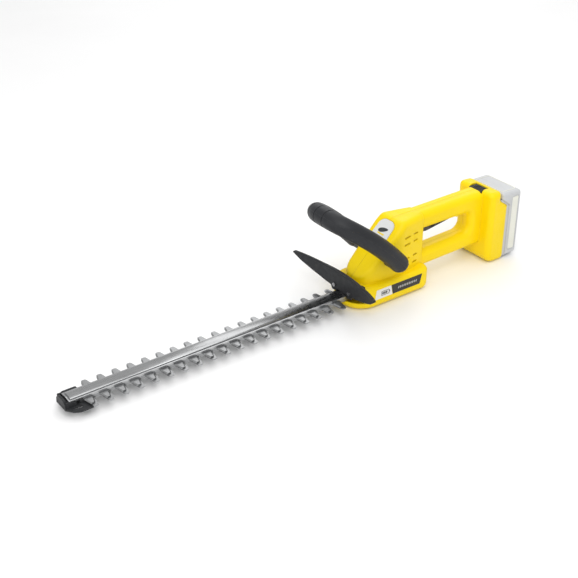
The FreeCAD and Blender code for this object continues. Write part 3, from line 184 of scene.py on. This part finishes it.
def metal(name, colour, rough=0.32, along=(30.0, 2200.0, 2200.0), depth=0.00002, stain_and_reflection=0.0):
    """Metal with grinding or drawing marks.

    along is how fine they are on X, Y and Z: coarsest the way they run.
    """
    s = Shader(name)
    lines = s.noise(1.0, 6.0, 0.7, s.stretched(along))
    cloud = s.noise(70.0, 4.0)
    base = s.mix(s.spread(lines, 0.3, 0.7, 0.0, 1.0), tinted(colour, 0.80), tinted(colour, 1.12))
    if stain_and_reflection > 0.0:
        # dark spots: stains on the blades and screws, a painted reflection on the guide bar
        stain_and_reflection_spots = s.spread(s.noise(130.0, 6.0, 0.7), 0.56, 0.72, 0.0, stain_and_reflection)
        base = s.mix(stain_and_reflection_spots, base, (0.20, 0.19, 0.17))
    s.colour(base)
    s.roughness(s.spread(s.math("ADD", lines, cloud), 0.6, 1.4, rough - 0.10, rough + 0.14))
    s.bump(lines, depth, 0.6)
    s.surface.inputs["Metallic"].default_value = 1.0
    s.surface.inputs["Anisotropic"].default_value = METAL_ANISOTROPY
    return s.material


def cast_metal(name, colour, rough=0.5):
    """Cast or sintered metal with a fine pitted skin."""
    s = Shader(name)
    cloud = s.noise(260.0, 6.0, 0.65)
    s.colour(s.mix(s.spread(cloud, 0.3, 0.7, 0.0, 1.0), tinted(colour, 0.82), tinted(colour, 1.08)))
    s.roughness(s.spread(cloud, 0.3, 0.7, rough - 0.1, rough + 0.1))
    s.bump(s.noise(1500.0, 4.0), 0.00006, 0.6)
    s.surface.inputs["Metallic"].default_value = 1.0
    return s.material


def wound_wire(name, colour):
    """Fine wire wound close, as fine slanted waves: darker troughs between turns as painted shade, lighter
    crowns as a painted highlight.
    """
    s = Shader(name)
    wave = s.new("TexWave")
    wave.bands_direction = "DIAGONAL"
    wave.inputs["Scale"].default_value = 420.0
    wave.inputs["Distortion"].default_value = 1.2
    s.link(s.where, wave.inputs["Vector"])
    # painted shade in the grooves between turns, painted highlight on their crowns
    s.colour(s.mix(wave.outputs["Fac"], tinted(colour, 0.55), tinted(colour, 1.1)))
    s.roughness(s.spread(s.noise(300.0), 0.3, 0.7, 0.25, 0.45))
    s.bump(wave.outputs["Fac"], 0.0003, 0.8)
    s.surface.inputs["Metallic"].default_value = 0.85
    return s.material


def printed_film(name, colour, rough=0.38):
    """A thin printed film: nearly flat, with faint fibres."""
    s = Shader(name)
    fibres = s.noise(1800.0, 3.0)
    s.colour(s.mix(s.spread(fibres, 0.3, 0.7, 0.0, 1.0), tinted(colour, 0.96), tinted(colour, 1.02)))
    s.roughness(s.spread(s.noise(90.0), 0.3, 0.7, rough - 0.06, rough + 0.06))
    s.bump(s.noise(700.0, 2.0), 0.00001, 0.5)
    return s.material


# ---- colours and finishes ----------------------------------------------------
YELLOW = (0.945, 0.690, 0.0015)
BLACK = (0.014, 0.014, 0.015)
CHARCOAL = (0.024, 0.025, 0.028)

MATERIALS = {
    "yellow_plastic": plastic("yellow_shell", YELLOW, 0.40, soft=0.0022, wear=0.06),
    "black_plastic": plastic("black_shell", BLACK, 0.46, soft=0.0012),
    "grey_plastic": plastic("grey_lever", (0.16, 0.16, 0.165), 0.48, soft=0.001),
    "badge_silver": plastic("badge_plate", (0.72, 0.73, 0.72), 0.30, grain=0.00001, wear=0.0, coat=0.4),
    "label_white": printed_film("label_white", (0.80, 0.80, 0.78)),
    "label_black": printed_film("label_black", BLACK),
    "battery_plastic": plastic("battery_shell", (0.58, 0.59, 0.60), 0.40, soft=0.0012, wear=0.05),
    "battery_panel": plastic("battery_panel", (0.80, 0.80, 0.72), 0.44, wear=0.0),
    "blade_steel": metal("blade_steel", (0.36, 0.365, 0.37), 0.32, stain_and_reflection=0.20),
    "screw_steel": metal("screw_steel", (0.42, 0.42, 0.43), 0.34, (900.0, 900.0, 900.0), stain_and_reflection=0.15),
    "shaft_steel": metal("shaft_steel", (0.60, 0.60, 0.62), 0.22, (1500.0, 1500.0, 60.0)),
    # the guide bar's dark spots are a painted reflection, not stains
    "bar_alloy": metal("bar_alloy", (0.47, 0.475, 0.48), 0.27, (24.0, 1700.0, 1700.0), stain_and_reflection=0.12),
    "cast_alloy": cast_metal("cast_alloy", (0.55, 0.56, 0.57)),
    "motor_steel": metal("motor_steel", (0.50, 0.50, 0.52), 0.36, (1200.0, 1200.0, 90.0)),
    "gear_steel": cast_metal("gear_steel", (0.36, 0.36, 0.38), 0.42),
    "bronze": metal("bronze", (0.60, 0.40, 0.18), 0.34, (900.0, 900.0, 200.0)),
    "copper": wound_wire("copper", (0.72, 0.32, 0.14)),
    "magnet": cast_metal("magnet", (0.10, 0.10, 0.11), 0.6),
    "carbon": cast_metal("carbon", (0.06, 0.06, 0.06), 0.7),
    "lead_rubber": plastic("lead_rubber", (0.30, 0.02, 0.02), 0.5, wear=0.0),
    "board": plastic("board", (0.02, 0.16, 0.06), 0.35, wear=0.0, coat=0.5),
    "spring_steel": metal("spring_steel", (0.55, 0.55, 0.57), 0.25, (700.0, 700.0, 700.0)),
    "cell_wrap": plastic("cell_wrap", (0.06, 0.22, 0.42), 0.25, grain=0.00001, wear=0.0, coat=0.3),
    "nickel": metal("nickel", (0.70, 0.69, 0.65), 0.25, (200.0, 1200.0, 1200.0)),
}
GRIP_RUBBER = plastic("grip_rubber", CHARCOAL, 0.42, grain_scale=1500.0, soft=0.0010, wear=0.06)
GUARD_PLASTIC = plastic("guard_plastic", (0.022, 0.023, 0.025), 0.48, grain=0.00002,
                        soft=0.0006, wear=0.05)
MARK_INK = printed_film("mark_ink", (0.030, 0.034, 0.036))
PALE_INK = printed_film("pale_ink", (0.55, 0.55, 0.53))
YELLOW_INK = printed_film("yellow_ink", (0.86, 0.62, 0.03))
OWN_MATERIAL = {
    "bow_upper_shell": GRIP_RUBBER,
    "bow_lower_shell": GRIP_RUBBER,
    "hand_guard": GUARD_PLASTIC,
    "tip_guard": GUARD_PLASTIC,
}


def dress_nodes():
    """Every CAD node gets the finish of its slot, or its own."""
    for entry in frame["record"]["subparts"]:
        node = NODES[entry["node"]]
        finish = OWN_MATERIAL.get(entry["node"], MATERIALS[entry["material_slot"]])
        node.data.materials.clear()
        node.data.materials.append(finish)


# ---- detail pieces ------------------------------------------------------------
# how deep a raised mark's foot sits in the surface under it, in millimetres
SINK = 0.3
FORWARD = (1.0, 0.0, 0.0)
BACKWARD = (-1.0, 0.0, 0.0)
LEFTWARD = (0.0, 1.0, 0.0)
UPWARD = (0.0, 0.0, 1.0)
# each flank's word, the sign of its Y, and the way that reads left to right on it
FLANKS = (("left", 1, BACKWARD), ("right", -1, FORWARD))


def add_piece(name, verts, faces, body, finish, bevel=0.0):
    """One closed mesh that rides a body, with a finish; bevel rounds its edges, in metres."""
    mesh = bpy.data.meshes.new(name)
    mesh.from_pydata([tuple(v) for v in verts], [], faces)
    mesh.validate()
    piece = bpy.data.objects.new(name, mesh)
    SCENE.collection.objects.link(piece)
    mesh.materials.append(finish)
    if bevel > 0.0:
        modifier = piece.modifiers.new("edges", "BEVEL")
        modifier.width = bevel
        modifier.segments = 3
        modifier.limit_method = "ANGLE"
    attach(piece, body)
    return piece


def rounded_rect(half_u, half_v, radius, steps=6):
    """A rectangle's outline with round corners, counter-clockwise."""
    points = []
    for cu, cv, start in ((1, 1, 0), (-1, 1, 90), (-1, -1, 180), (1, -1, 270)):
        for k in range(steps + 1):
            a = math.radians(start + 90.0 * k / steps)
            points.append((cu * (half_u - radius) + radius * math.cos(a),
                           cv * (half_v - radius) + radius * math.sin(a)))
    return points


class Plane:
    """A drawing plane: u and v across it and n out of it, in millimetres; at() answers in metres."""

    def __init__(self, origin, u, v):
        self.origin = Vector(origin)
        self.u = Vector(u).normalized()
        self.v = Vector(v).normalized()
        self.n = self.u.cross(self.v)

    def at(self, u, v, n=0.0):
        return (self.origin + self.u * u + self.v * v + self.n * n) * MM


def slab(plane, outlines, height):
    """Extruded outlines as one mesh: from SINK below the plane to height above it."""
    verts = []
    faces = []
    for outline in outlines:
        start = len(verts)
        count = len(outline)
        verts += [plane.at(u, v, -SINK) for u, v in outline]
        verts += [plane.at(u, v, height) for u, v in outline]
        faces.append(tuple(range(start + count - 1, start - 1, -1)))
        faces.append(tuple(range(start + count, start + 2 * count)))
        for k in range(count):
            j = (k + 1) % count
            faces.append((start + k, start + j, start + count + j, start + count + k))
    return verts, faces


def frame_band(plane, outer, inner, height):
    """A raised band between two outlines with the same number of points."""
    count = len(outer)
    verts = []
    for outline, level in ((outer, -SINK), (outer, height), (inner, height), (inner, -SINK)):
        verts += [plane.at(u, v, level) for u, v in outline]
    faces = []
    for ring in range(4):
        other = (ring + 1) % 4
        for k in range(count):
            j = (k + 1) % count
            faces.append((ring * count + k, ring * count + j, other * count + j, other * count + k))
    return verts, faces


def shifted(outline, du, dv):
    return [(u + du, v + dv) for u, v in outline]


def top_along(node, direction):
    """How far a CAD node reaches along a direction, in millimetres."""
    d = Vector(direction).normalized()
    return max(v.co.dot(d) for v in NODES[node].data.vertices) / MM


def badge_marks():
    """A plain leaf emblem and a yellow bar under it on the slanted badge."""
    leaf_points = 24
    leaf_half_length = 9.0
    leaf_half_width = 3.4
    leaf_taper = 0.25
    leaf_cos, leaf_sin = 0.94, 0.34
    leaf_up = 4.0
    bar_down = -2.6
    low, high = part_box("badge_plate")
    mid_x = (low.x + high.x) / 2.0 / MM
    mid_z = (low.z + high.z) / 2.0 / MM
    normal = Vector((1.0, 0.0, 1.0)).normalized()
    up_slope = (-1.0, 0.0, 1.0)
    level = top_along("badge_plate", normal)
    centre = Vector((mid_x, 0.0, mid_z))
    centre += normal * (level - centre.dot(normal))
    plane = Plane(centre, LEFTWARD, up_slope)
    leaf = []
    for k in range(leaf_points):
        a = 2.0 * math.pi * k / leaf_points
        along = leaf_half_length * math.cos(a)
        across = leaf_half_width * math.sin(a) * (1.0 - leaf_taper * math.cos(a))
        leaf.append((along * leaf_cos - across * leaf_sin, along * leaf_sin + across * leaf_cos))
    verts, faces = slab(plane, [shifted(leaf, 0.0, leaf_up)], height=0.25)
    add_piece("badge_leaf", verts, faces, "body", MARK_INK, bevel=0.00008)
    bar = rounded_rect(7.0, 1.1, radius=1.0)
    verts, faces = slab(plane, [shifted(bar, 0.0, bar_down)], height=0.2)
    add_piece("badge_bar", verts, faces, "body", YELLOW_INK, bevel=0.00006)


def label_marks():
    """A battery pictogram on each flank's pale label and a run of slanted strokes on its dark one."""
    pictogram_x = -113.0
    ink = 0.12
    cell_places = (-4.4, -1.0, 2.4)
    terminal_place = 8.4
    stroke_count = 11
    stroke_pitch = 3.4
    stroke_half = 1.7
    stroke_width = 1.5
    stroke_lean = 1.0
    low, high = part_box("pale_labels")
    dark_low, dark_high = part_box("dark_labels")
    mid_z = (low.z + high.z) / 2.0 / MM
    dark_mid_x = (dark_low.x + dark_high.x) / 2.0 / MM
    for word, side, reading in FLANKS:
        face_y = side * high.y / MM
        plane = Plane((pictogram_x, face_y, mid_z), reading, UPWARD)
        outer = rounded_rect(7.5, 3.6, radius=1.0)
        inner = rounded_rect(6.7, 2.8, radius=0.5)
        verts, faces = frame_band(plane, outer, inner, ink)
        add_piece("pictogram_frame_" + word, verts, faces, "body", MARK_INK)
        cell = rounded_rect(1.3, 1.8, radius=0.2, steps=2)
        terminal = rounded_rect(0.6, 1.4, radius=0.2, steps=2)
        blocks = [shifted(cell, u, 0.0) for u in cell_places]
        blocks.append(shifted(terminal, terminal_place, 0.0))
        verts, faces = slab(plane, blocks, ink)
        add_piece("pictogram_cells_" + word, verts, faces, "body", MARK_INK)
        plane = Plane((dark_mid_x, face_y, mid_z), reading, UPWARD)
        strokes = []
        for k in range(stroke_count):
            u = stroke_pitch * (k - stroke_count // 2)
            strokes.append([(u, -stroke_half), (u + stroke_width, -stroke_half),
                            (u + stroke_width + stroke_lean, stroke_half), (u + stroke_lean, stroke_half)])
        verts, faces = slab(plane, strokes, ink)
        add_piece("label_strokes_" + word, verts, faces, "body", PALE_INK)


def battery_trim():
    """Raised borders and ribs on the pack's sides, and a border on its top."""
    border_gap = 0.5
    border_reach = 1.6
    border_height = 0.35
    outer_radius = 3.0
    inner_radius = 2.2
    rib_rows = (-36, -33, -30, -27, 27, 30, 33, 36)
    plastic_look = MATERIALS["battery_plastic"]
    panel_look = MATERIALS["battery_panel"]
    rear_low, rear_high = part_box("battery_rear_case")
    front_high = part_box("battery_front_case")[1]
    panel_low, panel_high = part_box("battery_panels")
    mid_x = (panel_low.x + panel_high.x) / 2.0 / MM
    mid_z = (panel_low.z + panel_high.z) / 2.0 / MM
    half_x = (panel_high.x - panel_low.x) / 2.0 / MM
    half_z = (panel_high.z - panel_low.z) / 2.0 / MM
    for word, side, reading in FLANKS:
        plane = Plane((mid_x, side * rear_high.y / MM, mid_z), reading, UPWARD)
        outer = rounded_rect(half_x + border_reach, half_z + border_reach, outer_radius)
        inner = rounded_rect(half_x + border_gap, half_z + border_gap, inner_radius)
        verts, faces = frame_band(plane, outer, inner, border_height)
        add_piece("pack_border_" + word, verts, faces, "battery", plastic_look,
                  bevel=0.0001)
        plane = Plane((mid_x, side * panel_high.y / MM, mid_z), reading, UPWARD)
        rib = rounded_rect(3.2, 0.5, radius=0.4, steps=3)
        verts, faces = slab(plane, [shifted(rib, 0.0, v) for v in rib_rows], height=0.2)
        add_piece("pack_ribs_" + word, verts, faces, "battery", panel_look)
    top_forward = 0.5
    top_slope = Vector((40.0, 0.0, 1.0))
    top_x = (rear_low.x + front_high.x) / 2.0 / MM + top_forward
    top_z = (rear_high.z / MM + front_high.z / MM) / 2.0
    plane = Plane((top_x, 0.0, top_z), top_slope, LEFTWARD)
    outer = rounded_rect(15.0, 29.0, outer_radius)
    inner = rounded_rect(14.0, 28.0, inner_radius)
    verts, faces = frame_band(plane, outer, inner, height=0.45)
    add_piece("pack_top_border", verts, faces, "battery", panel_look, bevel=0.0001)


def guard_bead():
    """The rounded bead along the hand guard's upper edge, thinner towards both tips."""
    guard_arc_r = 226.0
    guard_face_x = -63.0
    guard_thickness = 4.2
    edge_z = 49.8
    edge_rise = 7.0
    edge_half = 92.0
    edge_power = 1.35
    bead_half_y = 90.0
    bead_half_x = 2.5
    bead_half_z = 1.7
    bead_drop = 0.9
    fade_length = 8.0
    tip_size = 0.25
    rings = 72
    around = 12
    verts = []
    faces = []
    for i in range(rings + 1):
        y = -bead_half_y + 2.0 * bead_half_y * i / rings
        x = guard_face_x + guard_arc_r - math.sqrt(guard_arc_r ** 2 - y * y) - guard_thickness / 2.0
        z = edge_z + edge_rise * (abs(y) / edge_half) ** edge_power - bead_drop
        fade = min(1.0, (bead_half_y - abs(y)) / fade_length + tip_size)
        for k in range(around):
            a = 2.0 * math.pi * k / around
            across = bead_half_x * fade * math.cos(a)
            up = bead_half_z * fade * math.sin(a)
            verts.append(Vector((x + across, y, z + up)) * MM)
    for i in range(rings):
        for k in range(around):
            j = (k + 1) % around
            faces.append((i * around + k, i * around + j, (i + 1) * around + j, (i + 1) * around + k))
    faces.append(tuple(range(around - 1, -1, -1)))
    faces.append(tuple(rings * around + k for k in range(around)))
    piece = add_piece("guard_bead", verts, faces, "body", GUARD_PLASTIC)
    for polygon in piece.data.polygons:
        polygon.use_smooth = True


def bar_crown():
    """The half-round crown along the guide bar, from the hand guard's foot to under the tip guard."""
    crown_half = 8.6
    crown_rise = 2.3
    crown_sink = 0.05
    rear_x = -57.5
    front_gap = 3.0
    steps = 16
    bar_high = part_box("guide_bar")[1]
    level = bar_high.z / MM - crown_sink
    verts = []
    for x in (rear_x, bar_high.x / MM - front_gap):
        for k in range(steps + 1):
            a = math.pi * k / steps
            verts.append(Vector((x, crown_half * math.cos(a), level + crown_rise * math.sin(a))) * MM)
    row = steps + 1
    faces = [(k, k + 1, row + k + 1, row + k) for k in range(steps)]
    faces.append((steps, 0, row, row + steps))
    faces.append(tuple(range(steps, -1, -1)))
    faces.append(tuple(row + k for k in range(row)))
    piece = add_piece("bar_crown", verts, faces, "body", MATERIALS["bar_alloy"])
    for polygon in piece.data.polygons:
        polygon.use_smooth = len(polygon.vertices) == 4 and abs(polygon.normal.x) < 0.5


# ---- setting ---------------------------------------------------------------------
FLOOR_REACH = 6.0
WORLD_STRENGTH = 0.62
LIGHT_TARGET = Vector((-0.05, 0.0, 0.06))
# each light's name, place in metres, size in metres and power in watts
LIGHTS = (
    ("key", (0.9, 1.5, 2.0), 1.8, 24.0),
    ("top", (-0.3, 0.1, 2.4), 2.4, 20.0),
    ("front", (1.9, 0.2, 0.8), 1.4, 8.0),
    ("back", (-1.4, -1.6, 1.6), 1.8, 12.0),
)
CAMERA_PLACE = (0.81895, 1.0766, 0.8282)
CAMERA_FORWARD = (-0.5112, -0.6996, -0.4992)
CAMERA_LENS = 68.8
CAMERA_SENSOR = 36.0


def studio():
    """A pale floor, an even white world and four soft lights."""
    floor_mesh = bpy.data.meshes.new("studio_floor")
    corners = [(x * FLOOR_REACH, y * FLOOR_REACH, 0) for x, y in ((-1, -1), (1, -1), (1, 1), (-1, 1))]
    floor_mesh.from_pydata(corners, [], [(0, 1, 2, 3)])
    floor = bpy.data.objects.new("studio_floor", floor_mesh)
    SCENE.collection.objects.link(floor)
    s = Shader("studio_floor")
    s.colour(s.mix(s.spread(s.noise(2.0), 0.3, 0.7, 0.0, 1.0), (0.90, 0.90, 0.90), (0.93, 0.93, 0.93)))
    s.surface.inputs["Roughness"].default_value = 0.7
    floor_mesh.materials.append(s.material)
    SCENE.view_settings.view_transform = "Standard"
    world = bpy.data.worlds.new("studio")
    world.use_nodes = True
    background = world.node_tree.nodes["Background"]
    background.inputs["Color"].default_value = (1.0, 1.0, 1.0, 1.0)
    background.inputs["Strength"].default_value = WORLD_STRENGTH
    SCENE.world = world
    for name, place, size, power in LIGHTS:
        data = bpy.data.lights.new(name, "AREA")
        data.size = size
        data.energy = power
        lamp = bpy.data.objects.new(name, data)
        lamp.location = place
        lamp.rotation_euler = (LIGHT_TARGET - Vector(place)).to_track_quat("-Z", "Y").to_euler()
        SCENE.collection.objects.link(lamp)


def camera():
    """A camera above the front left, looking down at the tool without roll."""
    data = bpy.data.cameras.new("camera")
    data.lens = CAMERA_LENS
    data.sensor_width = CAMERA_SENSOR
    eye = bpy.data.objects.new("camera", data)
    forward = Vector(CAMERA_FORWARD).normalized()
    right = forward.cross(Vector(UPWARD)).normalized()
    up = right.cross(forward)
    turn = Matrix((right, up, -forward)).transposed().to_4x4()
    eye.matrix_world = Matrix.Translation(CAMERA_PLACE) @ turn
    SCENE.collection.objects.link(eye)
    SCENE.camera = eye


dress_nodes()
badge_marks()
label_marks()
battery_trim()
guard_bead()
bar_crown()
studio()
camera()
